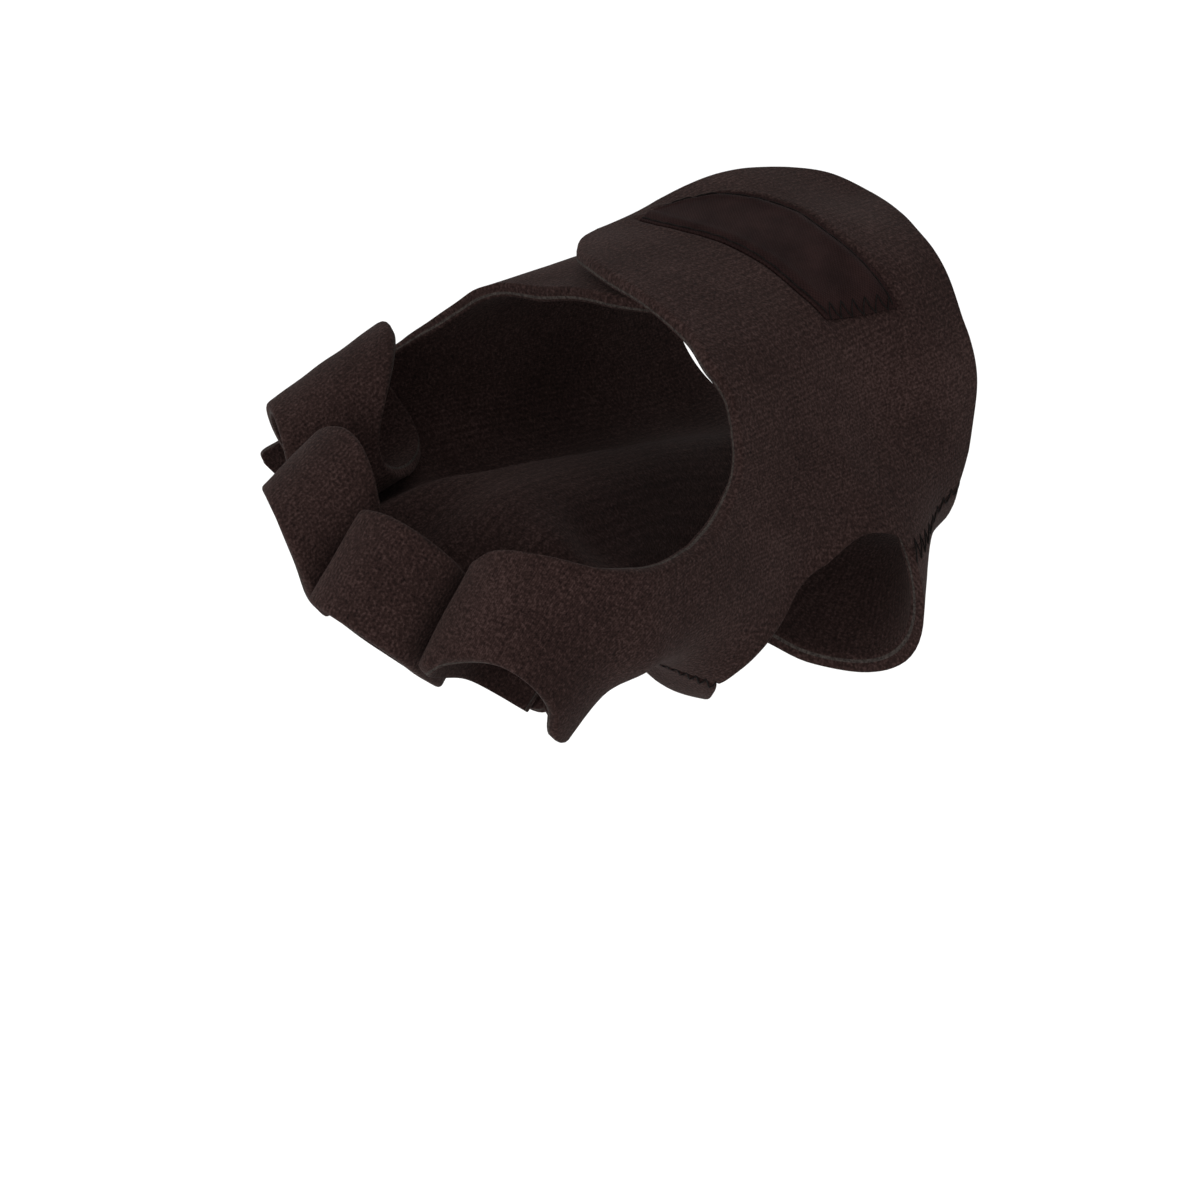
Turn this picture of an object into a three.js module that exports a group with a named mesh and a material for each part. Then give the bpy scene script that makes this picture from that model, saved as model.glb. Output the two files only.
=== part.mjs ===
// Open-back weightlifting glove for a right hand, in the form it has when worn, palm down.
// Millimetres and degrees. The origin is the centre of the wrist: +X towards the thumb,
// +Y up the forearm, +Z out of the back of the hand.
import * as THREE from "three";

// Sizes of the form that the glove is shaped to.
const palmLength = 86; // wrist centre to middle knuckle
const palmWidth = 61; // index knuckle to little knuckle
const palmDepth = 30; // scale of the heights above and below the wrist centre
const fingerWidth = 24; // scale of every round section
const fleshBlend = 3; // softness of the blend where two limbs meet

// Sizes of the cloth and of what is sewn on it.
const wall = 2.5;
const skinGap = 0.3; // form to the inner face of the cloth
const layerGap = 0.3; // one layer to the next
const seamGap = 0.5; // edge to edge where two sheets are butted and sewn
const hookThickness = 1;
const hookWidth = 40;
const labelThickness = 0.6;
const thumbHoleReach = 0.53; // how far the thumb opening runs into the palm, as a share of the palm's length

// Turns round the wrist: 0 is the thumb side, 90 the back, 180 the little-finger side, -90 the palm.
const tabEndTurn = 59;
const flapEndTurn = 105;
const flapRise = 23; // turn over which the flap climbs onto the tab
const hookTurns = [70, 94];
const thumbSeamTurn = -24;
const palmTurn = -97;

const ringCells = 30;
const ringColumns = 3;

// Fingers, from the knuckle to the middle joint: knuckle place, length and the widths at both ends
// are shares of the form's sizes. near and far are the loop's edges on that length: a middle value,
// then what goes with cos t, sin t, cos 2t and sin 2t (cos t and cos 2t for far), t being the turn
// round the finger from its thumb side.
const fingers = {
  index: { knuckle: [0.41, -0.95, 0.1], length: 0.52, flex: 43, spread: 5, base: 0.525, tip: 0.46,
    near: [0.3, 0, 0, 0, 0], far: [0.72, 0, 0] },
  middle: { knuckle: [0.05, -1, 0.2], length: 0.58, flex: 44, spread: 5, base: 0.51, tip: 0.45,
    near: [0.34, 0, 0, 0.02, 0], far: [0.7, 0.02, 0] },
  ring: { knuckle: [-0.265, -0.92, 0.08], length: 0.535, flex: 24, spread: -1, base: 0.44, tip: 0.36,
    near: [0.368, 0.005, 0, 0.061, 0.018], far: [0.727, 0.107, 0] },
  little: { knuckle: [-0.58, -0.8, -0.12], length: 0.43, flex: 22, spread: -13, base: 0.42, tip: 0.35,
    near: [0.03, 0.171, -0.046, 0.078, 0], far: [0.627, 0.085, 0.022] },
};
const fingerOrder = ["index", "middle", "ring", "little"];

// Limbs of the palm and wrist: round bars from one place to another. to is a place or a finger,
// whose knuckle it then is.
const limbTable = [
  { from: [0.23, 0.7, 0.07], to: [0.23, 0, -0.07], base: 0.81, tip: 0.83 },
  { from: [-0.21, 0.7, 0.07], to: [-0.25, 0, 0], base: 0.75, tip: 0.81 },
  { from: [0.2, -0.09, 0.03], to: "index", base: 0.625, tip: 0.5 },
  { from: [0.05, -0.09, 0.05], to: "middle", base: 0.65, tip: 0.48 },
  { from: [-0.1, -0.09, 0.06], to: "ring", base: 0.65, tip: 0.46 },
  { from: [-0.26, -0.09, 0], to: "little", base: 0.63, tip: 0.44 },
  { from: [-0.3, -0.16, -0.27], to: [-0.48, -0.67, -0.33], base: 0.54, tip: 0.44 },
  { from: [0.2, -0.16, -0.27], to: [0.26, -0.72, -0.23], base: 0.46, tip: 0.375 },
  { from: [0.25, -0.2, -0.47], to: [0.473, -0.653, -0.784], base: 0.5, tip: 0.469 },
  { from: [0.46, -0.4, -0.27], to: [0.618, -0.992, -0.3], base: 0.42, tip: 0.189 },
  { from: [0.522, -0.834, -0.316], to: [0.64, -0.694, -0.748], base: 0.315, tip: 0.24 },
  { from: [0.422, -0.91, -0.099], to: [0.405, -1.161, -0.486], base: 0.337, tip: 0.298 },
  { from: [0.33, 0.35, -0.27], to: [0.4, -0.05, -0.45], base: 0.56, tip: 0.53 },
  { from: [0.32, -0.13, -0.32], to: [0.75, -0.49, -1], base: 0.6, tip: 0.56 },
];

// Stations along the form, from the forearm to the fingers. The two cores are where the rays that
// place the cloth start, on the thumb side and on the little-finger side, and tilt leans the rays
// with the bent fingers.
const stationTable = [
  { at: -0.7, radial: [0.23, 0.7, 0.07], ulnar: [-0.23, 0.7, 0.1], tilt: 0 },
  { at: 0, radial: [0.23, 0, -0.07], ulnar: [-0.25, 0, 0], tilt: 0 },
  { at: 0.49, radial: [0.31, -0.48, 0], ulnar: [-0.43, -0.42, -0.03], tilt: 0 },
  { at: 0.88, radial: [0.39, -0.86, 0.1], ulnar: [-0.57, -0.71, -0.08], tilt: 10 },
  { at: 1.16, radial: [0.43, -1.09, -0.26], ulnar: [-0.63, -0.94, -0.26], tilt: 36 },
  { at: 1.51, radial: [0.46, -1.34, -0.95], ulnar: [-0.72, -1.2, -0.57], tilt: 43 },
];

// Ends of the two seams between the sheets, on either side of the thumb opening: a share of the
// palm's length along the form, and a turn.
const seams = {
  thumbNear: [0.266, thumbSeamTurn + 3.5],
  wristMiddle: [0.14, thumbSeamTurn],
  wristEdge: [0.02, thumbSeamTurn + 1],
  thumbFar: [0.779, -55],
  webMiddle: [0.9, -62],
  webEnd: [1.03, -70],
};

// Outline of the wrap, from the end of the index band under the finger to the end of the flap:
// open is its edge round the bare back of the hand, free its other edge.
const wrapRows = [
  { open: [1.17, 262], free: [1.34, 262] },
  { open: [1.2, 215], free: [1.37, 215] },
  { open: [1.21, 165], free: [1.4, 165] },
  { open: [1.19, 122], free: [1.41, 122] },
  { open: [1.155, 104], free: [1.37, 100] },
  { open: [1.113, 72], free: [1.313, 66] },
  { open: [1.06, 39], free: [1.293, 38] },
  { open: [0.995, 18], free: [1.3, 8] },
  { open: [0.945, 8], free: [1.335, -13] },
  { open: [0.91, 4], free: [1.32, -50] },
  { open: [0.885, 2], free: [1.3, -88] },
  { open: [0.865, 1], free: [1.19, -83] },
  { open: [0.845, 0], free: seams.webEnd },
  { open: [0.825, 0], free: seams.webMiddle },
  { open: [0.8, 0.5], free: seams.thumbFar, corner: true },
  { open: [0.775, 1], free: [0.735, -46] },
  { open: [0.755, 2], free: [0.66, -37] },
  { open: [0.737, 3.5], free: [0.58, -31] },
  { open: [0.72, 5.5], free: [0.5, -24] },
  { open: [0.705, 8], free: [0.42, -18.5] },
  { open: [0.685, 12], free: [0.355, -16] },
  { open: [0.655, 20], free: [0.295, -17] },
  { open: [0.628, 30], free: seams.thumbNear, corner: true },
  { open: [0.618, 34], free: seams.wristMiddle },
  { open: [0.61, 37], free: seams.wristEdge, corner: true },
  { open: [0.605, 40], free: [-0.02, -6] },
  { open: [0.6, 43], free: [-0.06, 12] },
  { open: [0.602, 47], free: [-0.076, 30] },
  { open: [0.604, 51], free: [-0.078, 45] },
  { open: [0.585, 58], free: [-0.09, 56] },
  { open: [0.581, 67], free: [-0.135, 65] },
  { open: [0.572, 75], free: [-0.19, 76] },
  { open: [0.56, 81], free: [-0.17, 86] },
  { open: [0.535, flapEndTurn - 17], free: [-0.1, flapEndTurn - 12] },
  { open: [0.5, flapEndTurn - 10], free: [-0.01, flapEndTurn - 7] },
  { open: [0.44, flapEndTurn - 4], free: [0.09, flapEndTurn - 3] },
  { open: [0.37, flapEndTurn], free: [0.2, flapEndTurn] },
];

// Outline of the palm sheet, from its wrist edge to the fingers: thumb is its edge on the thumb
// side, round the opening, and far its other edge, which first runs round the closing tab. middle
// is where the row crosses the middle of the palm.
const tab = tabEndTurn - 360;
const palmRows = [
  { thumb: seams.wristEdge, middle: [0, palmTurn], far: [-0.06, tab + 9] },
  { thumb: seams.wristMiddle, middle: [0.1, palmTurn], far: [0.02, tab + 1] },
  { thumb: seams.thumbNear, middle: [0.18, palmTurn], far: [0.12, tab - 2], corner: true },
  { thumb: [0.264, -30], middle: [0.24, palmTurn], far: [0.23, tab - 1] },
  { thumb: [0.275, -46], middle: [0.3, palmTurn], far: [0.35, tab + 1] },
  { thumb: [0.32, -60], middle: [0.37, palmTurn], far: [0.47, tab + 5] },
  { thumb: [0.41, -71], middle: [0.45, palmTurn], far: [0.56, tab + 17] },
  { thumb: [thumbHoleReach, -76], middle: [0.55, palmTurn], far: [0.62, -260] },
  { thumb: [0.64, -75], middle: [0.65, palmTurn], far: [0.655, -235] },
  { thumb: [0.72, -69], middle: [0.73, palmTurn], far: [0.69, -212] },
  { thumb: [0.765, -61], middle: [0.8, palmTurn], far: [0.75, -193] },
  { thumb: seams.thumbFar, middle: [0.87, palmTurn], far: [0.84, -178], corner: true },
  { thumb: seams.webMiddle, middle: [0.96, palmTurn], far: [0.95, -166] },
  { thumb: seams.webEnd, middle: [1.05, palmTurn], far: [1.06, -158] },
  { thumb: [1.15, -80], middle: [1.15, palmTurn], far: [1.17, -152] },
  { thumb: [1.26, -77], middle: [1.25, palmTurn], far: [1.27, -149] },
  { thumb: [1.32, -78], middle: [1.325, palmTurn], far: [1.34, -149] },
  { thumb: [1.355, -85], middle: [1.365, palmTurn], far: [1.36, -141] },
];

// Outline of the label on the strap, from its stitched end to its pointed one: its edge nearer the
// wrist and its edge nearer the fingers.
const labelRows = [
  { near: [0.085, 46], far: [0.262, 50] },
  { near: [0.09, 55], far: [0.278, 57] },
  { near: [0.08, 66], far: [0.273, 66] },
  { near: [0.066, 75], far: [0.28, 75] },
  { near: [0.083, 83], far: [0.3, 83] },
  { near: [0.118, 90], far: [0.307, 89] },
  { near: [0.165, 94], far: [0.303, 94] },
  { near: [0.23, 97], far: [0.298, 97] },
];

const degree = Math.PI / 180;

function place([x, y, z]) {
  return new THREE.Vector3(x * palmWidth, y * palmLength, z * palmDepth);
}

// 0 up to the first value, 1 from the second on, smooth between.
function ramp(from, to, value) {
  return THREE.MathUtils.smoothstep(value, from, to);
}

// A smooth curve through the rows of a table of number lists, read at a row number that may lie
// between two rows. At a corner row the curve has a corner.
function curveThrough(rows, corners, position) {
  const first = Math.min(Math.floor(position), rows.length - 2);
  const t = position - first;
  const slope = (row, side) => {
    const before = row === 0 || (corners[row] && side > 0) ? row : row - 1;
    const after = row === rows.length - 1 || (corners[row] && side < 0) ? row : row + 1;
    return rows[row].map((_, k) => (rows[after][k] - rows[before][k]) / (after - before));
  };
  const startSlope = slope(first, 1);
  const endSlope = slope(first + 1, -1);
  const a = 2 * t ** 3 - 3 * t ** 2 + 1;
  const b = t ** 3 - 2 * t ** 2 + t;
  const c = t ** 3 - t ** 2;
  return rows[first].map((value, k) =>
    a * value + b * startSlope[k] + (1 - a) * rows[first + 1][k] + c * endSlope[k]);
}

// Axis of a finger, with its thumb-side and back directions.
function fingerAxis(name) {
  const finger = fingers[name];
  const flex = finger.flex * degree;
  const spread = finger.spread * degree;
  const along = new THREE.Vector3(
    Math.sin(spread) * Math.cos(flex), -Math.cos(spread) * Math.cos(flex), -Math.sin(flex));
  const back = new THREE.Vector3(0, 0, 1).addScaledVector(along, Math.sin(flex)).normalize();
  return {
    ...finger,
    start: place(finger.knuckle),
    along,
    back,
    side: new THREE.Vector3().crossVectors(back, along),
    reach: finger.length * palmLength,
    startRadius: finger.base * fingerWidth,
    endRadius: finger.tip * fingerWidth,
  };
}

const axes = Object.fromEntries(fingerOrder.map((name) => [name, fingerAxis(name)]));

function fingerPoint(axis, share) {
  return axis.start.clone().addScaledVector(axis.along, share * axis.reach);
}

// The plane half-way between two neighbouring fingers. Its normal points to the second one.
function planeBetween(first, second) {
  const a = fingerPoint(axes[first], 0.5);
  const b = fingerPoint(axes[second], 0.5);
  const along = axes[first].along.clone().add(axes[second].along).normalize();
  const normal = b.clone().sub(a);
  normal.addScaledVector(along, -normal.dot(along)).normalize();
  return { point: a.add(b).multiplyScalar(0.5), normal };
}

const clothTop = skinGap + wall;

// How far a finger's cloth must stay from the plane to its neighbour, at a level above the form.
function sideRoom(level) {
  return layerGap / 2 + clothTop - level;
}

const palmLimbs = limbTable.map((row) => ({
  start: place(row.from),
  end: typeof row.to === "string" ? axes[row.to].start : place(row.to),
  startRadius: row.base * fingerWidth,
  endRadius: row.tip * fingerWidth,
}));

// A finger as a limb, bare or with its loop's cloth on it.
function fingerLimb(name, from, to, cloth) {
  const axis = axes[name];
  const radius = (share) => axis.startRadius + (axis.endRadius - axis.startRadius) * share + cloth;
  return {
    start: fingerPoint(axis, from),
    end: fingerPoint(axis, to),
    startRadius: radius(from),
    endRadius: radius(to),
  };
}

// The wrap follows the palm and the index finger. The palm sheet passes over the loops.
const wrapLimbs = [...palmLimbs, fingerLimb("index", 0, 1, 0)];
const palmSheetLimbs = [
  ...palmLimbs,
  ...fingerOrder.map((name) => fingerLimb(name, 0, 1, 0)),
  ...fingerOrder.map((name) => fingerLimb(name, fingers[name].near[0] - 0.1, fingers[name].far[0], clothTop)),
];

// Distance to the blended form: each round bar's own distance, joined by a soft minimum.
function formDistance(point, limbs) {
  let sum = 0;
  for (const limb of limbs) {
    const axis = limb.end.clone().sub(limb.start);
    const toPoint = point.clone().sub(limb.start);
    const t = THREE.MathUtils.clamp(toPoint.dot(axis) / axis.lengthSq(), 0, 1);
    const radius = limb.startRadius + (limb.endRadius - limb.startRadius) * t;
    const distance = toPoint.addScaledVector(axis, -t).length() - radius;
    sum += Math.exp(-distance / fleshBlend);
  }
  return -fleshBlend * Math.log(sum);
}

const stationRows = stationTable.map((row) => [...row.radial, ...row.ulnar, row.tilt]);

// Both cores and the ray directions at a share of the palm's length.
function stationAt(at) {
  let row = 0;
  while (row < stationTable.length - 2 && at > stationTable[row + 1].at) {
    row += 1;
  }
  const span = stationTable[row + 1].at - stationTable[row].at;
  const t = (at - stationTable[row].at) / span;
  const v = curveThrough(stationRows, [], row + t);
  const tilt = v[6] * degree;
  const radial = place(v.slice(0, 3));
  const ulnar = place(v.slice(3, 6));
  const back = new THREE.Vector3(0, -Math.sin(tilt), Math.cos(tilt));
  const side = radial.clone().sub(ulnar);
  side.addScaledVector(back, -side.dot(back)).normalize();
  return { radial, ulnar, back, side };
}

// Share of the way from the thumb-side core to the little-finger core.
function coreShare(at, turn, roundIndex) {
  if (turn >= -50 || (roundIndex && at > 0.8)) {
    return ramp(15, 115, turn) * (1 - ramp(0.77, 1.02, at));
  }
  return turn > -245 ? 1 - ramp(-135, -66, turn) : ramp(15, 115, turn + 360);
}

// Keeps the index band clear of the middle finger, past the knuckles only.
const indexPlane = planeBetween("index", "middle");
const indexPlaneFrom = 0.93;

// A point of the cloth: walks out from the core along its ray until it is level mm above the form.
function clothPoint([at, turn], level, limbs, roundIndex) {
  const station = stationAt(at);
  const core = station.radial.clone().lerp(station.ulnar, coreShare(at, turn, roundIndex));
  const ray = station.side.clone().multiplyScalar(Math.cos(turn * degree))
    .addScaledVector(station.back, Math.sin(turn * degree));
  const edge = 1.5;
  const limited = roundIndex && at > indexPlaneFrom;
  let reach = 0;
  for (let step = 0; step < 40; step += 1) {
    const point = core.clone().addScaledVector(ray, reach);
    let distance = formDistance(point, limbs) - level;
    if (limited) {
      const past = point.clone().sub(indexPlane.point).dot(indexPlane.normal) + sideRoom(level);
      distance = Math.max(distance, past) + edge * Math.log1p(Math.exp(-Math.abs(distance - past) / edge));
    }
    reach -= distance * 0.9;
  }
  return core.addScaledVector(ray, reach);
}

// Solid between two grids of points, the outer and the inner face of a sheet. A closed sheet's
// last row joins its first.
function sheetGeometry(outer, inner, closed) {
  const rows = outer.length;
  const columns = outer[0].length;
  const positions = [...outer.flat(), ...inner.flat()].flatMap((point) => point.toArray());
  const index = [];
  const outerAt = (i, j) => (i % rows) * columns + j;
  const innerAt = (i, j) => rows * columns + outerAt(i, j);
  const quad = (a, b, c, d) => index.push(a, b, c, a, c, d);
  const lastRow = closed ? rows : rows - 1;
  for (let i = 0; i < lastRow; i += 1) {
    for (let j = 0; j < columns - 1; j += 1) {
      quad(outerAt(i, j), outerAt(i + 1, j), outerAt(i + 1, j + 1), outerAt(i, j + 1));
      quad(innerAt(i, j), innerAt(i, j + 1), innerAt(i + 1, j + 1), innerAt(i + 1, j));
    }
    quad(outerAt(i + 1, 0), outerAt(i, 0), innerAt(i, 0), innerAt(i + 1, 0));
    const end = columns - 1;
    quad(outerAt(i, end), outerAt(i + 1, end), innerAt(i + 1, end), innerAt(i, end));
  }
  if (!closed) {
    for (let j = 0; j < columns - 1; j += 1) {
      quad(outerAt(0, j), outerAt(0, j + 1), innerAt(0, j + 1), innerAt(0, j));
      quad(outerAt(lastRow, j + 1), outerAt(lastRow, j), innerAt(lastRow, j), innerAt(lastRow, j + 1));
    }
  }
  const geometry = new THREE.BufferGeometry();
  geometry.setAttribute("position", new THREE.Float32BufferAttribute(positions, 3));
  geometry.setIndex(signedVolume(positions, index) > 0 ? index : index.reverse());
  geometry.computeVertexNormals();
  return geometry;
}

function signedVolume(positions, index) {
  const corner = (k) => new THREE.Vector3().fromArray(positions, 3 * index[k]);
  let volume = 0;
  for (let k = 0; k < index.length; k += 3) {
    volume += corner(k).dot(corner(k + 1).cross(corner(k + 2)));
  }
  return volume / 6;
}

// A sheet from a table of rows. spots names the points of each row, steps is the number of cells
// between two rows and columns lists the number between two points; levelAt gives the inner
// face's level.
function tableSheet(rows, spots, steps, columns, thickness, levelAt, limbs, roundIndex) {
  const numbers = rows.map((row) => spots.flatMap((spot) => row[spot]));
  const corners = rows.map((row) => row.corner === true);
  const count = (rows.length - 1) * steps;
  const faces = [thickness, 0].map((extra) => {
    const grid = [];
    for (let i = 0; i <= count; i += 1) {
      const v = curveThrough(numbers, corners, i / steps);
      const line = [v.slice(0, 2)];
      columns.forEach((cells, k) => {
        const [startAt, startTurn, endAt, endTurn] = v.slice(2 * k);
        for (let j = 1; j <= cells; j += 1) {
          const share = j / cells;
          line.push([startAt + (endAt - startAt) * share, startTurn + (endTurn - startTurn) * share]);
        }
      });
      grid.push(line.map((spot) => clothPoint(spot, levelAt(...spot) + extra, limbs, roundIndex)));
    }
    return grid;
  });
  return sheetGeometry(faces[0], faces[1], false);
}

// The flap climbs over the tab and the hook patch where the tab lies under it.
const stackHeight = wall + hookThickness + 2 * layerGap;

function flapLift(at, turn) {
  const strapOnly = 1 - ramp(0.72, 0.87, at);
  return stackHeight * ramp(tabEndTurn - 2 - flapRise, tabEndTurn - 2, turn) * strapOnly;
}

function backWrap() {
  const level = (at, turn) => skinGap + flapLift(at, turn);
  return tableSheet(wrapRows, ["open", "free"], 2, [12], wall, level, wrapLimbs, true);
}

// The palm sheet's seam edges stand back from the wrap's by the seam gap.
function palmPanel() {
  const setBack = seamGap / (fingerWidth * 1.4) / degree;
  const rows = palmRows.map((row) => ({
    ...row,
    thumb: [row.thumb[0], row.thumb[1] - (Object.values(seams).includes(row.thumb) ? setBack : 0)],
  }));
  return tableSheet(rows, ["thumb", "middle", "far"], 2, [7, 18], wall, () => skinGap, palmSheetLimbs, false);
}

// A plain rectangle between the tab and the flap.
function hookPatch() {
  const centre = 0.22;
  const half = hookWidth / palmLength / 2;
  const middleTurn = (hookTurns[0] + hookTurns[1]) / 2;
  const rows = [hookTurns[0], middleTurn, hookTurns[1]].map((turn) => ({
    near: [centre - half, turn],
    far: [centre + half, turn],
  }));
  const level = () => clothTop + layerGap;
  return tableSheet(rows, ["near", "far"], 4, [8], hookThickness, level, wrapLimbs, false);
}

function labelPatch() {
  const level = (at, turn) => clothTop + flapLift(at, turn) + layerGap;
  return tableSheet(labelRows, ["near", "far"], 2, [4], labelThickness, level, wrapLimbs, false);
}

// Closed loop round one finger: a bar's round wall, flattened where it meets its neighbours.
function fingerLoop(name) {
  const axis = axes[name];
  const order = fingerOrder.indexOf(name);
  const planes = [];
  if (order > 0) {
    const plane = planeBetween(fingerOrder[order - 1], name);
    planes.push({ point: plane.point, normal: plane.normal.negate() });
  }
  if (order < fingerOrder.length - 1) {
    planes.push(planeBetween(name, fingerOrder[order + 1]));
  }
  const edge = 1.5;
  const loopPoint = (turn, across, level) => {
    const waves = [1, Math.cos(turn), Math.sin(turn), Math.cos(2 * turn), Math.sin(2 * turn)];
    const near = waves.reduce((sum, wave, i) => sum + wave * axis.near[i], 0);
    const far = axis.far[0] + axis.far[1] * waves[1] + axis.far[2] * waves[3];
    const share = near + (far - near) * across;
    const centre = fingerPoint(axis, share);
    const ray = axis.side.clone().multiplyScalar(Math.cos(turn)).addScaledVector(axis.back, Math.sin(turn));
    const radius = axis.startRadius + (axis.endRadius - axis.startRadius) * share + level;
    let sum = Math.exp(-radius / edge);
    for (const plane of planes) {
      const facing = ray.dot(plane.normal);
      if (facing > 0.05) {
        const room = -centre.clone().sub(plane.point).dot(plane.normal) - sideRoom(level);
        sum += Math.exp(-room / facing / edge);
      }
    }
    return centre.addScaledVector(ray, -edge * Math.log(sum));
  };
  const faces = [clothTop, skinGap].map((level) =>
    Array.from({ length: ringCells }, (_, i) =>
      Array.from({ length: ringColumns + 1 }, (_, j) =>
        loopPoint((2 * Math.PI * i) / ringCells, j / ringColumns, level))));
  return sheetGeometry(faces[0], faces[1], true);
}

const neoprene = { color: 0x28211f, roughness: 0.92, metalness: 0 };
const hookCloth = { color: 0x1c1b1b, roughness: 0.98, metalness: 0 };
const wovenLabel = { color: 0x2a2020, roughness: 0.7, metalness: 0 };

function piece(name, geometry, finish) {
  const mesh = new THREE.Mesh(geometry, new THREE.MeshStandardMaterial(finish));
  mesh.name = name;
  return mesh;
}

const glove = new THREE.Group();
glove.name = "weightlifting_glove";
glove.add(piece("back_wrap", backWrap(), neoprene));
glove.add(piece("palm_panel", palmPanel(), neoprene));
for (const name of ["middle", "ring", "little"]) {
  glove.add(piece(`loop_${name}`, fingerLoop(name), neoprene));
}
glove.add(piece("hook_patch", hookPatch(), hookCloth));
glove.add(piece("label_patch", labelPatch(), wovenLabel));

export default glove;
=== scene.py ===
# Looks of an open-back weightlifting glove in the form it has when worn, palm down.
# Shapes are worked out in millimetres and go into the meshes in metres.
# +X points to the thumb opening, +Y from the loops to the strap, +Z out of the open back.
import bpy
import math
import numpy as np
from mathutils import Matrix, Vector


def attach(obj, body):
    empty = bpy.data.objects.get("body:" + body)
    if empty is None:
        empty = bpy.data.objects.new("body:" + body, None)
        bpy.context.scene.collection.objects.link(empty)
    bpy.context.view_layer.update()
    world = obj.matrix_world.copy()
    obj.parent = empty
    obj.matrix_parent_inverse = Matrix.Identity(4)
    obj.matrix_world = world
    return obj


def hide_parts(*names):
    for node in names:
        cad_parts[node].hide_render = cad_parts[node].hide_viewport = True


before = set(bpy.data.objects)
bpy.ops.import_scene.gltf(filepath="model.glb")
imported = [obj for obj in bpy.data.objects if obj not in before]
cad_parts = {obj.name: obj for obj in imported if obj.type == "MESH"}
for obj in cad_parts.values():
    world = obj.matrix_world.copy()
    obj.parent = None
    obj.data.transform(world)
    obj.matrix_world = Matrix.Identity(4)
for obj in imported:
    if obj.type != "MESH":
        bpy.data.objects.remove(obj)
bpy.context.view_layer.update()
print("frame loaded, nodes:", sorted(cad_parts))

mm = 0.001
degree = math.pi / 180

# Sizes of the form under the cloth, and of the cloth itself, in millimetres.
form = {
    "palmLength": 86,
    "palmWidth": 61,
    "palmDepth": 30,
    "fingerWidth": 24,
    "formBlend": 3,
}
cloth = {
    "wall": 2.5,
    "innerGap": 0.3,
    "layerGap": 0.3,
    "seamGap": 0.02,  # the sewn edges all but touch
    "sideBlend": 1.5,  # softness of a loop where it meets the next one
    "edgeRound": 0.9,  # rounding of the cut edges
    "edgeTaper": 0.35,  # share of that rounding on the inner face
    "rimShares": (0.5, 0.86),  # where the rim's two inner lines lie across the wall
    "turnLength": 0.49,  # millimetres of cloth to a degree of turn
}
strap = {
    "tabEnd": 59,  # turn where the lower tab ends
    "flapEnd": 105,  # turn where the closing flap ends
    "flapRise": 23,
    "liftMargin": 2,  # turn between the end of that rise and the tab's end
    "liftFade": (0.72, 0.87),  # shares of the length over which the flap's lift ends
    "hookThickness": 1,
    "hookWidth": 40,
    "hookTurns": (70, 94),
    "labelThickness": 0.6,
    "thumbSeam": -24,
    "palmTurn": -97,
    "thumbHoleReach": 0.53,
}

clothTop = cloth["innerGap"] + cloth["wall"]
spotLengths = np.array([form["palmLength"], cloth["turnLength"]])  # of a share along and a degree round
edgeSteps = np.array([0.18, 0.5, 1.1]) * cloth["edgeRound"]  # three grid lines close to a cut edge

# Bars inside the index band and the three loops, in shares of the form's sizes. near and far are the
# loop's edges on a bar's length: a middle value, then what goes with cos t, sin t, cos 2t and sin 2t
# (cos t and cos 2t for far), t being the turn round the bar from its thumb side.
fingers = {
    "index": dict(knuckle=(0.41, -0.95, 0.1), length=0.52, flex=43, spread=5, base=0.525, tip=0.46,
                  near=(0.3, 0, 0, 0, 0), far=(0.72, 0, 0)),
    "middle": dict(knuckle=(0.05, -1, 0.2), length=0.58, flex=44, spread=5, base=0.51, tip=0.45,
                   near=(0.34, 0, 0, 0.02, 0), far=(0.7, 0.02, 0)),
    "ring": dict(knuckle=(-0.265, -0.92, 0.08), length=0.535, flex=24, spread=-1, base=0.44, tip=0.36,
                 near=(0.368, 0.005, 0, 0.061, 0.018), far=(0.727, 0.107, 0)),
    "little": dict(knuckle=(-0.58, -0.8, -0.12), length=0.43, flex=22, spread=-13, base=0.42, tip=0.35,
                   near=(0.03, 0.171, -0.046, 0.078, 0), far=(0.627, 0.085, 0.022)),
}
fingerOrder = ["index", "middle", "ring", "little"]

# Round bars inside the palm sheet and the strap: from, to (a place or where a loop's bar starts), and
# the radii at both ends.
limbTable = [
    ((0.23, 0.7, 0.07), (0.23, 0, -0.07), 0.81, 0.83),
    ((-0.21, 0.7, 0.07), (-0.25, 0, 0), 0.75, 0.81),
    ((0.2, -0.09, 0.03), "index", 0.625, 0.5),
    ((0.05, -0.09, 0.05), "middle", 0.65, 0.48),
    ((-0.1, -0.09, 0.06), "ring", 0.65, 0.46),
    ((-0.26, -0.09, 0), "little", 0.63, 0.44),
    ((-0.3, -0.16, -0.27), (-0.48, -0.67, -0.33), 0.54, 0.44),
    ((0.2, -0.16, -0.27), (0.26, -0.72, -0.23), 0.46, 0.375),
    ((0.25, -0.2, -0.47), (0.473, -0.653, -0.784), 0.5, 0.469),
    ((0.46, -0.4, -0.27), (0.618, -0.992, -0.3), 0.42, 0.189),
    ((0.522, -0.834, -0.316), (0.64, -0.694, -0.748), 0.315, 0.24),
    ((0.422, -0.91, -0.099), (0.405, -1.161, -0.486), 0.337, 0.298),
    ((0.33, 0.35, -0.27), (0.4, -0.05, -0.45), 0.56, 0.53),
    ((0.32, -0.13, -0.32), (0.75, -0.49, -1), 0.6, 0.56),
]

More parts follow.
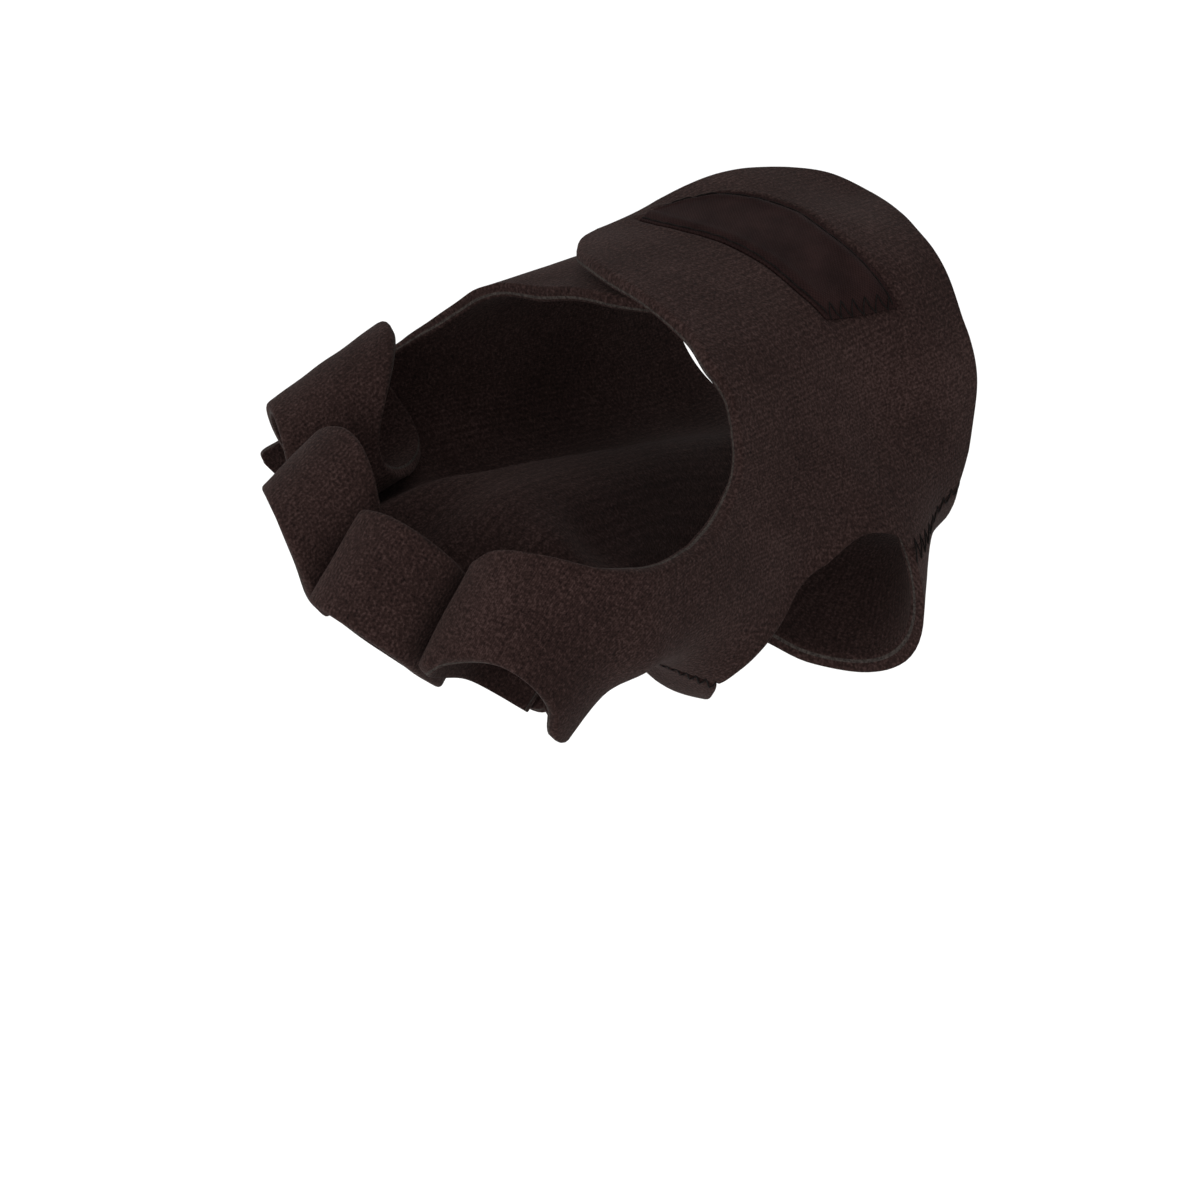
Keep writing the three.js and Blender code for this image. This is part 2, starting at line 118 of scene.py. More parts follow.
# Stations along the form: share of the palm's length, core on the thumb side, core on the far side,
# and the lean of the rays that place the cloth.
stationTable = [
    (-0.7, (0.23, 0.7, 0.07), (-0.23, 0.7, 0.1), 0),
    (0, (0.23, 0, -0.07), (-0.25, 0, 0), 0),
    (0.49, (0.31, -0.48, 0), (-0.43, -0.42, -0.03), 0),
    (0.88, (0.39, -0.86, 0.1), (-0.57, -0.71, -0.08), 10),
    (1.16, (0.43, -1.09, -0.26), (-0.63, -0.94, -0.26), 36),
    (1.51, (0.46, -1.34, -0.95), (-0.72, -1.2, -0.57), 43),
]

# Ends of the two seams beside the thumb opening: share along the form, turn round it.
seams = {
    "thumbNear": (0.266, strap["thumbSeam"] + 3.5),
    "wristMiddle": (0.14, strap["thumbSeam"]),
    "wristEdge": (0.02, strap["thumbSeam"] + 1),
    "thumbFar": (0.779, -55),
    "webMiddle": (0.9, -62),
    "webEnd": (1.03, -70),
}

flapEnd = strap["flapEnd"]
tab = strap["tabEnd"] - 360
palmTurn = strap["palmTurn"]

# Outline of the wrap, from the end of the index band to the end of the flap: its edge round the
# open back, its other edge, and whether that row is a corner.
wrapRows = [
    ((1.17, 262), (1.34, 262), False),
    ((1.2, 215), (1.37, 215), False),
    ((1.21, 165), (1.4, 165), False),
    ((1.19, 122), (1.41, 122), False),
    ((1.155, 104), (1.37, 100), False),
    ((1.113, 72), (1.313, 66), False),
    ((1.06, 39), (1.293, 38), False),
    ((0.995, 18), (1.3, 8), False),
    ((0.945, 8), (1.335, -13), False),
    ((0.91, 4), (1.32, -50), False),
    ((0.885, 2), (1.3, -88), False),
    ((0.865, 1), (1.19, -83), False),
    ((0.845, 0), seams["webEnd"], False),
    ((0.825, 0), seams["webMiddle"], False),
    ((0.8, 0.5), seams["thumbFar"], True),
    ((0.775, 1), (0.735, -46), False),
    ((0.755, 2), (0.66, -37), False),
    ((0.737, 3.5), (0.58, -31), False),
    ((0.72, 5.5), (0.5, -24), False),
    ((0.705, 8), (0.42, -18.5), False),
    ((0.685, 12), (0.355, -16), False),
    ((0.655, 20), (0.295, -17), False),
    ((0.628, 30), seams["thumbNear"], True),
    ((0.618, 34), seams["wristMiddle"], False),
    ((0.61, 37), seams["wristEdge"], True),
    ((0.605, 40), (-0.02, -6), False),
    ((0.6, 43), (-0.06, 12), False),
    ((0.602, 47), (-0.076, 30), False),
    ((0.604, 51), (-0.078, 45), False),
    ((0.585, 58), (-0.09, 56), False),
    ((0.581, 67), (-0.135, 65), False),
    ((0.572, 75), (-0.19, 76), False),
    ((0.56, 81), (-0.17, 86), False),
    ((0.535, flapEnd - 17), (-0.1, flapEnd - 12), False),
    ((0.5, flapEnd - 10), (-0.01, flapEnd - 7), False),
    ((0.44, flapEnd - 4), (0.09, flapEnd - 3), False),
    ((0.37, flapEnd), (0.2, flapEnd), False),
]

# Outline of the palm sheet, from its wrist edge to the loops: its edge on the thumb side, where
# the row crosses the middle of the palm, its other edge, and whether the row is a corner.
palmRows = [
    (seams["wristEdge"], (0, palmTurn), (-0.06, tab + 9), False),
    (seams["wristMiddle"], (0.1, palmTurn), (0.02, tab + 1), False),
    (seams["thumbNear"], (0.18, palmTurn), (0.12, tab - 2), True),
    ((0.264, -30), (0.24, palmTurn), (0.23, tab - 1), False),
    ((0.275, -46), (0.3, palmTurn), (0.35, tab + 1), False),
    ((0.32, -60), (0.37, palmTurn), (0.47, tab + 5), False),
    ((0.41, -71), (0.45, palmTurn), (0.56, tab + 17), False),
    ((strap["thumbHoleReach"], -76), (0.55, palmTurn), (0.62, -260), False),
    ((0.64, -75), (0.65, palmTurn), (0.655, -235), False),
    ((0.72, -69), (0.73, palmTurn), (0.69, -212), False),
    ((0.765, -61), (0.8, palmTurn), (0.75, -193), False),
    (seams["thumbFar"], (0.87, palmTurn), (0.84, -178), True),
    (seams["webMiddle"], (0.96, palmTurn), (0.95, -166), False),
    (seams["webEnd"], (1.05, palmTurn), (1.06, -158), False),
    ((1.15, -80), (1.15, palmTurn), (1.17, -152), False),
    ((1.26, -77), (1.25, palmTurn), (1.27, -149), False),
    ((1.32, -78), (1.325, palmTurn), (1.34, -149), False),
    ((1.355, -85), (1.365, palmTurn), (1.36, -141), False),
]

# Outline of the label, from its stitched end to its pointed one.
labelRows = [
    ((0.085, 46), (0.262, 50), False),
    ((0.09, 55), (0.278, 57), False),
    ((0.08, 66), (0.273, 66), False),
    ((0.066, 75), (0.28, 75), False),
    ((0.083, 83), (0.3, 83), False),
    ((0.118, 90), (0.307, 89), False),
    ((0.165, 94), (0.303, 94), False),
    ((0.23, 97), (0.298, 97), False),
]


# A place given in shares of the form's width, length and depth.
def place(shares):
    return np.array(shares, float) * (form["palmWidth"], form["palmLength"], form["palmDepth"])


# 0 up to low, 1 from high on, and the cubic 3t^2 - 2t^3 between them.
def ramp(low, high, value):
    t = np.clip((value - low) / (high - low), 0, 1)
    return t * t * (3 - 2 * t)


# Cubic curve through the rows of a table, read at any row numbers: each row's slope is half the
# step between its neighbours, and a corner row has a slope of its own on either side.
def curveThrough(rows, corners, positions):
    rows = np.array(rows, float)
    corners = np.array(corners)[:, None]
    step = np.diff(rows, axis=0)
    before = np.concatenate([step[:1], step])
    after = np.concatenate([step, step[-1:]])
    middle = (before + after) / 2
    leaving = np.where(corners, after, middle)
    arriving = np.where(corners, before, middle)
    first = np.minimum(positions.astype(int), len(rows) - 2)
    t = (positions - first)[:, None]
    a = 2 * t**3 - 3 * t**2 + 1
    b = t**3 - 2 * t**2 + t
    c = t**3 - t**2
    return a * rows[first] + b * leaving[first] + (1 - a) * rows[first + 1] + c * arriving[first + 1]


# Straight axis of a loop's bar: down by its flex, aside by its spread, with two directions square to it.
def fingerAxis(name):
    finger = fingers[name]
    flex = finger["flex"] * degree
    spread = finger["spread"] * degree
    level = np.array([math.sin(spread), -math.cos(spread)])
    along = np.array([*(level * math.cos(flex)), -math.sin(flex)])
    back = np.array([0, 0, 1]) + along * math.sin(flex)
    back /= np.linalg.norm(back)
    return dict(
        finger,
        start=place(finger["knuckle"]),
        along=along,
        back=back,
        side=np.cross(back, along),
        reach=finger["length"] * form["palmLength"],
        startRadius=finger["base"] * form["fingerWidth"],
        endRadius=finger["tip"] * form["fingerWidth"],
    )


axes = {name: fingerAxis(name) for name in fingerOrder}


# Point at a share of a bar's length: its start plus that much of its axis.
def fingerPoint(axis, share):
    return axis["start"] + axis["along"] * share * axis["reach"]


# Plane half-way between two neighbouring bars, its normal square to both and towards the second one.
def planeBetween(first, second):
    a = fingerPoint(axes[first], 0.5)
    b = fingerPoint(axes[second], 0.5)
    along = axes[first]["along"] + axes[second]["along"]
    along /= np.linalg.norm(along)
    normal = b - a
    normal = normal - along * (normal @ along)
    return (a + b) / 2, normal / np.linalg.norm(normal)


# How far a loop stays from the plane to its neighbour, at a level above the form: half the gap, and
# what the wall still grows.
def sideRoom(level):
    return cloth["layerGap"] / 2 + clothTop - level


# Stretch of a bar between two shares of its length, its radii grown by an extra thickness.
def fingerLimb(name, low, high, extra):
    axis = axes[name]
    grow = axis["endRadius"] - axis["startRadius"]
    radii = [axis["startRadius"] + grow * share + extra for share in (low, high)]
    return fingerPoint(axis, low), fingerPoint(axis, high), radii[0], radii[1]


# Stretch of a bar that a loop covers, from a little before its near edge, grown by the loop's cloth.
def loopLimb(name):
    return fingerLimb(name, fingers[name]["near"][0] - 0.1, fingers[name]["far"][0], clothTop)


width = form["fingerWidth"]
palmLimbs = [
    (place(start), axes[end]["start"] if isinstance(end, str) else place(end), base * width, tip * width)
    for start, end, base, tip in limbTable
]
wrapLimbs = palmLimbs + [fingerLimb("index", 0, 1, 0)]
palmSheetLimbs = (
    palmLimbs
    + [fingerLimb(name, 0, 1, 0) for name in fingerOrder]
    + [loopLimb(name) for name in fingerOrder]
)


# Distance to the blended form: each tapered bar's own distance d, joined as -k ln(sum of e^(-d/k)).
def formDistance(points, limbs):
    total = np.zeros(len(points))
    for start, end, startRadius, endRadius in limbs:
        axis = end - start
        toPoint = points - start
        t = np.clip(toPoint @ axis / (axis @ axis), 0, 1)
        away = np.linalg.norm(toPoint - t[:, None] * axis, axis=1)
        total += np.exp(-(away - startRadius - (endRadius - startRadius) * t) / form["formBlend"])
    return -form["formBlend"] * np.log(total)


# Cores and ray directions at shares of the palm's length, along the smooth curve of the stations.
def stationAt(at):
    table = np.array([[s, *radial, *ulnar, tilt] for s, radial, ulnar, tilt in stationTable], float)
    rowNumber = np.interp(at, table[:, 0], np.arange(len(table)))
    low, high = table[0, 0], table[-1, 0]
    rowNumber = rowNumber + np.where(at > high, (at - high) / (high - table[-2, 0]), 0)
    v = curveThrough(table[:, 1:], [False] * len(table), rowNumber)
    scale = np.array([form["palmWidth"], form["palmLength"], form["palmDepth"]])
    radial = v[:, 0:3] * scale
    ulnar = v[:, 3:6] * scale
    tilt = v[:, 6] * degree
    back = np.stack([np.zeros(len(at)), -np.sin(tilt), np.cos(tilt)], axis=1)
    side = radial - ulnar
    side -= back * np.sum(side * back, axis=1, keepdims=True)
    side /= np.linalg.norm(side, axis=1, keepdims=True)
    return radial, ulnar, back, side


# Where rays start between the two cores, by their turn and their share along the form.
rays = {
    "back": (15, 115),  # turns over the open back
    "backFade": (0.77, 1.02),  # shares of the length over which that ends
    "under": (-135, -66),  # turns under the palm
    "tabFrom": -245,  # turns below this belong to the tab's side
    "wrapFrom": -50,  # turns from here on belong to the wrap
    "bandFrom": 0.8,  # share of the length where the index band begins
    "planeFrom": 0.93,  # share of the length from which the next loop's plane holds it
    "walks": 34,  # steps of a ray's walk
    "walkShare": 0.9,  # share of the distance left that each step takes
}


# Share of the way from the thumb-side core to the far one, where a ray starts: cubic ramps of its turn.
def coreShare(at, turn, roundIndex):
    overBack = ramp(*rays["back"], turn) * (1 - ramp(*rays["backFade"], at))
    tabSide = ramp(*rays["back"], turn + 360)
    underPalm = np.where(turn > rays["tabFrom"], 1 - ramp(*rays["under"], turn), tabSide)
    wrapSide = (turn >= rays["wrapFrom"]) | (roundIndex & (at > rays["bandFrom"]))
    return np.where(wrapSide, overBack, underPalm)


indexPlane = planeBetween("index", "middle")


# Points of the cloth: each ray walks out from its core by nine tenths of the distance left, until
# it is at its level above the form. The index band also stops at the plane to its neighbour.
def clothPoints(at, turn, level, limbs, roundIndex):
    radial, ulnar, back, side = stationAt(at)
    core = radial + (ulnar - radial) * coreShare(at, turn, roundIndex)[:, None]
    ray = side * np.cos(turn * degree)[:, None] + back * np.sin(turn * degree)[:, None]
    edge = cloth["sideBlend"]
    limited = roundIndex & (at > rays["planeFrom"])
    reach = np.zeros(len(at))
    for step in range(rays["walks"]):
        points = core + ray * reach[:, None]
        distance = formDistance(points, limbs) - level
        if roundIndex:
            past = (points - indexPlane[0]) @ indexPlane[1] + sideRoom(level)
            both = np.maximum(distance, past) + edge * np.log1p(np.exp(-np.abs(distance - past) / edge))
            distance = np.where(limited, both, distance)
        reach -= distance * rays["walkShare"]
    return core + ray * reach[:, None]


# Height that the flap climbs over the tab and the hook tape: their stack times two cubic ramps.
def flapLift(at, turn):
    stack = cloth["wall"] + strap["hookThickness"] + 2 * cloth["layerGap"]
    high = strap["tabEnd"] - strap["liftMargin"]
    return stack * ramp(high - strap["flapRise"], high, turn) * (1 - ramp(*strap["liftFade"], at))


# Depth that a rounded edge takes off a face at a distance in from the edge: a quarter circle.
def edgeDrop(distance, radius):
    left = radius - np.clip(distance, 0, radius)
    return radius - np.sqrt(radius**2 - left**2)


# Low, long folds in the cloth: three crossed sine waves with a wandering phase.
def softFolds(at, turn, height):
    a = at * form["palmLength"]
    b = turn * cloth["turnLength"]
    first = np.sin(a * 0.21 + 1.7 * np.sin(b * 0.07 + 0.4))
    second = np.sin(b * 0.33 + 1.3 * np.sin(a * 0.11) + 1.1)
    third = np.sin((a - b) * 0.47 + 2.1 * np.sin(b * 0.13))
    return height * (0.45 * first + 0.35 * second + 0.2 * third)


# Numbers from 0 to count, with cells split evenly and three more steps close to either end.
def spacing(count, steps, endLengths):
    plain = np.linspace(0, count, count * steps + 1)
    extra = np.concatenate([edgeSteps * endLengths[0], count - edgeSteps * endLengths[1]])
    return np.unique(np.concatenate([plain, extra]).round(6))


# Borders of a grid as row and column numbers: the two edges of a ring, or one closed walk down the
# first column, along the last row, up the last column and home along the first row.
def gridBorders(rows, columns, ring):
    if ring:
        return [(np.arange(rows + 1), np.full(rows + 1, column)) for column in (0, columns - 1)]
    up = np.arange(rows - 2, -1, -1)
    home = np.arange(columns - 2, -1, -1)
    i = np.concatenate([np.arange(rows), np.full(columns - 1, rows - 1), up, np.zeros(columns - 1, int)])
    j = np.concatenate([np.zeros(rows, int), np.arange(1, columns), np.full(rows - 1, columns - 1), home])
    return [(i, j)]


# Closed mesh between two grids of points, with a rim of three strips between their borders. A ring
# joins its last row to its first. uv holds the cloth's own lengths.
def shellMesh(name, outer, inner, uv, ring, materials):
    rows, columns = outer.shape[:2]
    points = [outer.reshape(-1, 3), inner.reshape(-1, 3)]
    faceRows = rows if ring else rows - 1
    i, j = (a.ravel() for a in np.meshgrid(np.arange(faceRows), np.arange(columns - 1), indexing="ij"))
    cornerI = np.stack([i, i + 1, i + 1, i], axis=1)
    cornerJ = np.stack([j, j, j + 1, j + 1], axis=1)
    outerFaces = (cornerI % rows) * columns + cornerJ
    innerFaces = outerFaces[:, ::-1] + rows * columns
    faces = [outerFaces, innerFaces]
    faceUv = [uv[cornerI, cornerJ], uv[cornerI, cornerJ][:, ::-1]]
    kinds = [np.zeros(len(outerFaces), int), np.full(len(innerFaces), 1)]
    start = 2 * rows * columns
    for side, (borderI, borderJ) in enumerate(gridBorders(rows, columns, ring)):
        border = (borderI % rows) * columns + borderJ
        ends = outer.reshape(-1, 3)[border[:-1]], inner.reshape(-1, 3)[border[:-1]]
        count = len(border) - 1
        chains = [border]
        for share in cloth["rimShares"]:
            points.append(ends[0] + (ends[1] - ends[0]) * share)
            own = start + np.arange(count)
            chains.append(np.append(own, own[0]))
            start += count
        chains.append(border + rows * columns)
        borderUv = uv[borderI, borderJ]
        for strip in range(3):
            a, b = chains[strip], chains[strip + 1]
            quad = np.stack([a[1:], a[:-1], b[:-1], b[1:]], axis=1)
            quadUv = np.stack([borderUv[1:], borderUv[:-1], borderUv[:-1], borderUv[1:]], axis=1)
            if side == 1:
                quad, quadUv = quad[:, ::-1], quadUv[:, ::-1]
            faces.append(quad)
            faceUv.append(quadUv)
            kinds.append(np.full(count, (0, 2, 1)[strip]))
    points = np.concatenate(points) * mm
    faces = np.concatenate(faces)
    faceUv = np.concatenate(faceUv)
    kinds = np.concatenate(kinds)
    a, b, c, d = (points[faces[:, k]] for k in range(4))
    volume = np.sum(a * np.cross(b, c)) + np.sum(a * np.cross(c, d))
    if volume < 0:
        faces, faceUv = faces[:, ::-1], faceUv[:, ::-1]
    return meshObject(name, points, faces, faceUv * mm, materials, kinds)


# Mesh object from arrays of points, four-sided faces, corner uv and material numbers.
def meshObject(name, points, faces, faceUv, materials, kinds):
    mesh = bpy.data.meshes.new(name)
    mesh.vertices.add(len(points))
    mesh.vertices.foreach_set("co", points.astype(np.float32).ravel())
    mesh.loops.add(faces.size)
    mesh.loops.foreach_set("vertex_index", faces.astype(np.int32).ravel())
    mesh.polygons.add(len(faces))
    mesh.polygons.foreach_set("loop_start", np.arange(0, faces.size, 4, dtype=np.int32))
    mesh.polygons.foreach_set("loop_total", np.full(len(faces), 4, np.int32))
    mesh.update(calc_edges=True)
    mesh.polygons.foreach_set("use_smooth", np.ones(len(faces), bool))
    mesh.polygons.foreach_set("material_index", kinds.astype(np.int32))
    layer = mesh.uv_layers.new(name="cloth")
    layer.data.foreach_set("uv", faceUv.astype(np.float32).ravel())
    for material in materials:
        mesh.materials.append(material)
    mesh.validate()
    piece = bpy.data.objects.new(name, mesh)
    bpy.context.scene.collection.objects.link(piece)
    return piece


# Grid of a sheet from its smooth rows v, and each spot's distance in from the long edges. Columns run
# straight between a row's points, with the three edge lines more at either side.
def sheetColumns(v, columns):
    spans = len(columns)
    span = [
        np.linalg.norm((v[:, 2 * k + 2:2 * k + 4] - v[:, 2 * k:2 * k + 2]) * spotLengths, axis=1)
        for k in range(spans)
    ]
    total = sum(span)[:, None]
    fromStart = 0
    spots, edgeDistance = [], []
    for k, cells in enumerate(columns):
        tight = edgeSteps[None, :] / np.maximum(span[k], 6)[:, None]
        parts = [np.repeat(np.linspace(0, 1, cells + 1)[None, :], len(v), axis=0)]
        if k == 0:
            parts.append(tight)
        if k == spans - 1:
            parts.append(1 - tight)
        part = np.sort(np.concatenate(parts, axis=1), axis=1)
        if k > 0:
            part = part[:, 1:]
        low, high = v[:, None, 2 * k:2 * k + 2], v[:, None, 2 * k + 2:2 * k + 4]
        spots.append(low + (high - low) * part[:, :, None])
        distance = fromStart + part * span[k][:, None]
        edgeDistance.append(np.minimum(distance, total - distance))
        fromStart = fromStart + span[k][:, None]
    return np.concatenate(spots, axis=1), np.concatenate(edgeDistance, axis=1)


# Sheet of cloth from a table of rows: positions down the table follow the smooth curve through its
# rows, and both faces sit at their levels above the form, less the rounding at the cut edges.
# relief(at, turn) adds to the outer level.
def clothSheet(name, table, sizes, thickness, levelAt, limbs, roundIndex, materials, relief):
    numbers = np.array([[value for spot in row[:-1] for value in spot] for row in table])
    corners = [row[-1] for row in table]
    count = len(table) - 1
    endRows = (numbers[0] - numbers[1], numbers[-1] - numbers[-2])
    endStep = [np.linalg.norm(row[:2] * spotLengths) for row in endRows]
    positions = spacing(count, sizes["steps"], [1 / max(step, 1) for step in endStep])
    spots, edgeDistance = sheetColumns(curveThrough(numbers, corners, positions), sizes["columns"])
    ends = np.minimum(positions * endStep[0], (count - positions) * endStep[1])[:, None]
    radius = min(cloth["edgeRound"], thickness * 0.4)
    drop = edgeDrop(np.minimum(edgeDistance, ends), radius).ravel()
    at, turn = spots[..., 0].ravel(), spots[..., 1].ravel()
    base = levelAt(at, turn)
    outerLevel = base + thickness - drop + relief(at, turn)
    innerLevel = base + drop * cloth["edgeTaper"]
    grid = spots.shape[:2]
    outer = clothPoints(at, turn, outerLevel, limbs, roundIndex).reshape(*grid, 3)
    inner = clothPoints(at, turn, innerLevel, limbs, roundIndex).reshape(*grid, 3)
    piece = shellMesh(name, outer, inner, spots * spotLengths, False, materials)
    print(name, "faces:", len(piece.data.polygons))
    return piece


# The three loops: cells round, columns across, height of their low folds, and how squarely a ray must
# face the plane to the next loop for it to count.
loopSizes = {"cells": 120, "columns": 26, "folds": 0.1, "facing": 0.05}


# Closed loop: a bar's round wall whose reach is the soft minimum of its radius and of the planes to
# the neighbouring loops. Its edges are waves of the turn, and low folds are products of sines.
def fingerBand(name, materials):
    axis = axes[name]
    order = fingerOrder.index(name)
    planes = []
    if order > 0:
        point, normal = planeBetween(fingerOrder[order - 1], name)
        planes.append((point, -normal))
    if order < len(fingerOrder) - 1:
        planes.append(planeBetween(name, fingerOrder[order + 1]))
    cells, edge = loopSizes["cells"], cloth["sideBlend"]
    turn = np.linspace(0, 2 * math.pi, cells, endpoint=False)[:, None]
    waves = np.stack([np.ones_like(turn), np.cos(turn), np.sin(turn), np.cos(2 * turn), np.sin(2 * turn)])
    near = np.tensordot(axis["near"], waves, 1)
    far = np.tensordot(axis["far"], waves[[0, 1, 3]], 1)
    length = (far - near) * axis["reach"]
    tight = edgeSteps[None, :] / length
    across = np.repeat(np.linspace(0, 1, loopSizes["columns"])[None, :], cells, axis=0)
    across = np.sort(np.concatenate([across, tight, 1 - tight], axis=1), axis=1)
    share = near + (far - near) * across
    centre = axis["start"] + share[..., None] * axis["along"] * axis["reach"]
    ray = np.cos(turn)[..., None] * axis["side"] + np.sin(turn)[..., None] * axis["back"]
    drop = edgeDrop(np.minimum(across, 1 - across) * length, cloth["edgeRound"])
    wander = 3 * np.sin(turn * 2 + order)
    folds = loopSizes["folds"] * np.sin(share * 21 + wander) * np.sin(turn * 3 + share * 6)

    # Points of one face: the reach is -e ln(sum of e^(-r/e)) over the radius and the planes' rooms.
    def wallAt(level):
        radius = axis["startRadius"] + (axis["endRadius"] - axis["startRadius"]) * share + level
        total = np.exp(-radius / edge)
        for point, normal in planes:
            facing = ray @ normal
            room = -(centre - point) @ normal - sideRoom(level)
            held = np.exp(-room / np.maximum(facing, loopSizes["facing"]) / edge)
            total = total + np.where(facing > loopSizes["facing"], held, 0)
        return centre - ray * (edge * np.log(total))[..., None]

    outer = wallAt(clothTop - drop + folds)
    inner = wallAt(cloth["innerGap"] + drop * cloth["edgeTaper"])
    around = np.linspace(0, 2 * math.pi, cells + 1)[:, None] * axis["startRadius"]
    lengthUv = np.concatenate([share, share[:1]]) * axis["reach"]
    uv = np.stack([lengthUv, np.repeat(around, share.shape[1], axis=1)], axis=2)
    piece = shellMesh(f"{name}_band", outer, inner, uv, True, materials)
    print(piece.name, "faces:", len(piece.data.polygons))
    return piece


# Thread of the stitches, in millimetres.
stitch = {
    "radius": 0.13,
    "sides": 6,
    "arch": 0.14,  # height of a stitch over the cloth
    "dip": 0.05,  # how far it goes in between
    "fullness": 0.6,  # power of the arch's sine, lower is fuller
    "points": 8,  # path points to a stitch
    "endGap": 0.06,  # share of a table's row left free at either end
}


# Thread along a path: a round section carried along the points, one side towards the given normals.
def threadTube(name, points, normals):
    sides = stitch["sides"]
    along = np.gradient(points, axis=0)
    along /= np.maximum(np.linalg.norm(along, axis=1, keepdims=True), 1e-9)
    across = np.cross(along, normals)
    across /= np.maximum(np.linalg.norm(across, axis=1, keepdims=True), 1e-9)
    up = np.cross(across, along)
    angle = np.arange(sides) * 2 * math.pi / sides
    section = np.cos(angle)[None, :, None] * across[:, None] + np.sin(angle)[None, :, None] * up[:, None]
    rings = points[:, None] + stitch["radius"] * section
    rows = len(points)
    i, j = (a.ravel() for a in np.meshgrid(np.arange(rows - 1), np.arange(sides), indexing="ij"))
    k = (j + 1) % sides
    faces = np.stack([i * sides + j, (i + 1) * sides + j, (i + 1) * sides + k, i * sides + k], axis=1)
    caps = np.array([[0, 1, 2, 3], [0, 3, 4, 5]])
    last = (rows - 1) * sides
    faces = np.concatenate([faces, caps, caps[:, ::-1] + last])
    flat = rings.reshape(-1, 3) * mm
    a, b, c, d = (flat[faces[:, n]] for n in range(4))
    if np.sum(a * np.cross(b, c)) + np.sum(a * np.cross(c, d)) < 0:
        faces = faces[:, ::-1]
    uv = np.zeros((len(faces), 4, 2))
    return meshObject(name, flat, faces, uv, [darkThread], np.zeros(len(faces), int))


# Row of stitches on the cloth: the path of a table's points, evenly spaced by length, swings to
# both sides by width and arches over the cloth once a stitch, dipping just under it between.
def stitchRow(name, spots, pitch, swing, levelAt, limbs, roundIndex):
    gap = stitch["endGap"]
    numbers = curveThrough(spots, [False] * len(spots), np.linspace(gap, len(spots) - 1 - gap, 200))
    steps = np.linalg.norm(np.diff(numbers, axis=0) * spotLengths, axis=1)
    distance = np.concatenate([[0], np.cumsum(steps)])
    stitches = max(2, round(distance[-1] / pitch))
    t = np.linspace(0, stitches, stitches * stitch["points"] + 1)
    s = t / stitches * distance[-1]
    line = np.stack([np.interp(s, distance, numbers[:, k]) for k in range(2)], axis=1)
    direction = np.gradient(line * spotLengths, axis=0)
    direction /= np.linalg.norm(direction, axis=1, keepdims=True)
    sideways = np.stack([-direction[:, 1], direction[:, 0]], axis=1)
    zigzag = 2 * np.abs((t / 2) % 1 * 2 - 1) - 1
    line = line + sideways * (swing * zigzag)[:, None] / spotLengths
    height = stitch["arch"] * np.abs(np.sin(math.pi * t)) ** stitch["fullness"] - stitch["dip"]
    at, turn = line[:, 0], line[:, 1]
    level = levelAt(at, turn)
    path = clothPoints(at, turn, level + height, limbs, roundIndex)
    normals = path - clothPoints(at, turn, level + height - 1, limbs, roundIndex)
    return threadTube(name, path, normals)


# Matt cloth: a principled shader with the roughness and sheen of its dictionary and little specular.
def startMaterial(name, sizes):
    material = bpy.data.materials.new(name)
    material.use_nodes = True
    nodes = material.node_tree.nodes
    shader = nodes["Principled BSDF"]
    shader.inputs["Roughness"].default_value = sizes["roughness"]
    shader.inputs["Sheen Weight"].default_value = sizes.get("sheen", 0)
    shader.inputs["Specular IOR Level"].default_value = 0.06
    return material, nodes, material.node_tree.links, shader


# Math node of one or two values, each a number or another node's output.
def addMath(nodes, links, operation, first, second=None):
    node = nodes.new("ShaderNodeMath")
    node.operation = operation
    for socket, value in zip(node.inputs, (first, second)):
        if isinstance(value, (int, float)):
            socket.default_value = value
        elif value is not None:
            links.new(value, socket)
    return node.outputs[0]


# Sine of a length in metres, one turn to a pitch.
def addWave(nodes, links, length, pitch):
    return addMath(nodes, links, "SINE", addMath(nodes, links, "MULTIPLY", length, 2 * math.pi / pitch))


# A value less a half, times a scale.
def addCentred(nodes, links, value, scale):
    return addMath(nodes, links, "MULTIPLY", addMath(nodes, links, "SUBTRACT", value, 0.5), scale)


# The cloth's own lengths in metres: both together, along the cloth, and round it.
def clothLengths(nodes, links):
    lengths = nodes.new("ShaderNodeUVMap")
    lengths.uv_map = "cloth"
    split = nodes.new("ShaderNodeSeparateXYZ")
    links.new(lengths.outputs[0], split.inputs[0])
    return lengths.outputs[0], split.outputs[0], split.outputs[1]


# Noise of a scale, detail and roughness over the given coordinates, or else over the object's own.
def addNoise(nodes, links, scale, detail, roughness, vector=None):
    if vector is None:
        vector = nodes.new("ShaderNodeTexCoord").outputs["Object"]
    noise = nodes.new("ShaderNodeTexNoise")
    noise.inputs["Scale"].default_value = scale
    noise.inputs["Detail"].default_value = detail
    noise.inputs["Roughness"].default_value = roughness
    links.new(vector, noise.inputs["Vector"])
    return noise.outputs["Fac"]


# Colour and bump of a material: a shade read off its dictionary's ramp of colours, times a tone, and a
# height with the dictionary's bump strength and its depth in metres.
def addSurface(nodes, links, shader, sizes, shade, height, tone=1.0):
    node = nodes.new("ShaderNodeValToRGB")
    elements = node.color_ramp.elements
    while len(elements) < len(sizes["colours"]):
        elements.new(0.5)
    for element, position, colour in zip(elements, sizes["positions"], sizes["colours"]):
        element.position = position
        element.color = (*(value * tone for value in colour), 1)
    links.new(shade, node.inputs[0])
    links.new(node.outputs[0], shader.inputs["Base Color"])
    bump = nodes.new("ShaderNodeBump")
    bump.inputs["Strength"].default_value = sizes["bump"]
    bump.inputs["Distance"].default_value = sizes["bumpDepth"]
    links.new(height, bump.inputs["Height"])
    links.new(bump.outputs[0], shader.inputs["Normal"])


